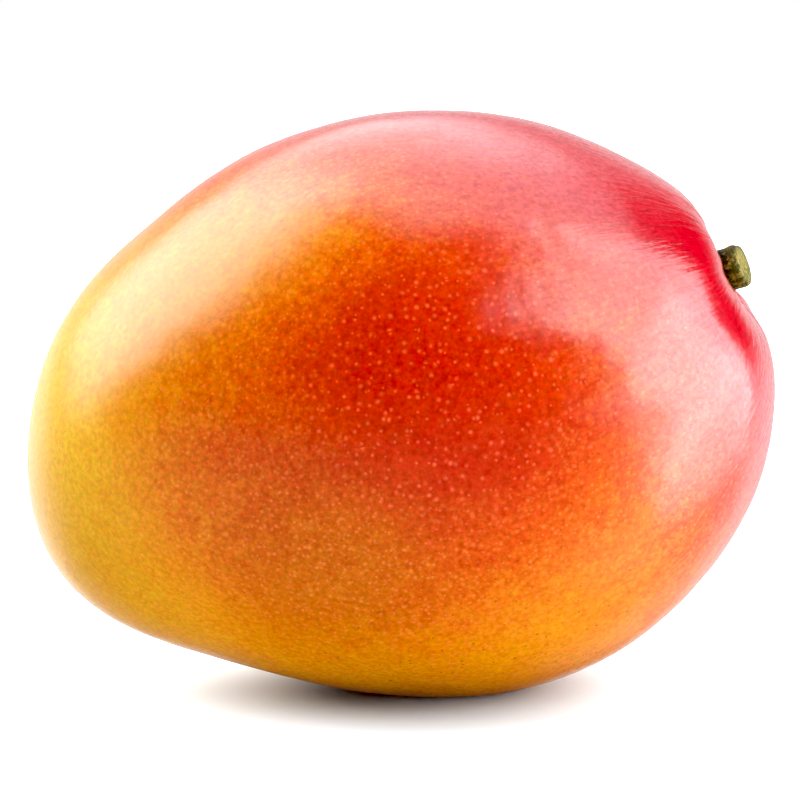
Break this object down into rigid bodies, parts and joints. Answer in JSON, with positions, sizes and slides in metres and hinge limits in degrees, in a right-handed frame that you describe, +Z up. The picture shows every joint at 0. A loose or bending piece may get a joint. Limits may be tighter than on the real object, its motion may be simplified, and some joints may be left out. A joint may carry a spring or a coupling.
{
  "type": "mango",
  "caption": "Ripe red-blushed mango with a short stub of stem, lying on its side on a small flat spot, as a still piece of fruit.",
  "frame": {"origin": "in the flat spot that the fruit rests on, straight under the fruit's middle", "axes": "+X along the fruit towards the stem end, +Y through the far cheek, so that the near cheek faces -Y, and +Z up from the surface it rests on"},
  "size_m": [0.1193, 0.0857, 0.0931],
  "materials": {
    "mango_skin": "satin",
    "green_stem": "matte"
  },
  "bodies": {
    "root": {"fruit": "mango_skin", "stem": "green_stem"}
  },
  "joints": []
}
